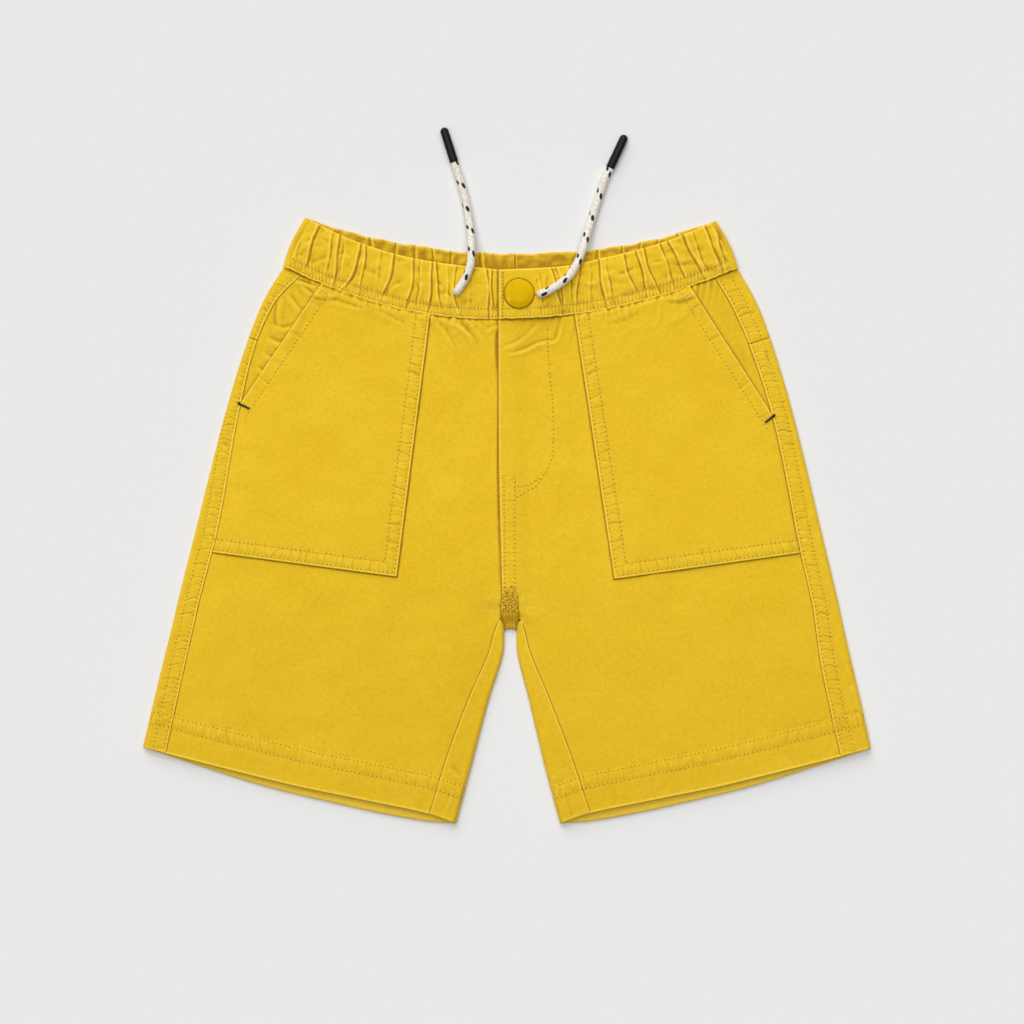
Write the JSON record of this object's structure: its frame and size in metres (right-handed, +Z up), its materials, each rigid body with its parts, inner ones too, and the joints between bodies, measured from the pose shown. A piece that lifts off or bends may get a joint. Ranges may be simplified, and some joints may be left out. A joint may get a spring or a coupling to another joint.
{
  "type": "child's shorts",
  "caption": "Child's pull-on shorts in cotton twill with a gathered waistband, snap, drawcord, mock fly and large patch pockets, laid flat with the front up.",
  "frame": {"origin": "on the surface that the shorts lie on, under the middle of their outline without the drawcord's free ends", "axes": "+Z up, out of the front; +Y towards the waist; +X towards the wearer's left, across both hems"},
  "size_m": [0.4508, 0.4312, 0.0149],
  "materials": {
    "twill": "garment-dyed mustard cotton twill",
    "snap": "smooth satin paint in the cloth's colour",
    "cord": "off-white braid with black flecks",
    "cord_tip": "black dipped tip"
  },
  "bodies": {
    "root": {"waistband_right": "twill", "waistband_left": "twill", "yoke_right": "twill", "yoke_left": "twill", "back_right": "twill", "back_left": "twill", "front_right": "twill", "front_left": "twill", "pocket_right": "twill", "pocket_left": "twill", "crotch_fell": "twill", "snap_cap": "snap", "drawcord_right": "cord", "drawcord_left": "cord", "cord_tip_right": "cord_tip", "cord_tip_left": "cord_tip"}
  },
  "joints": []
}
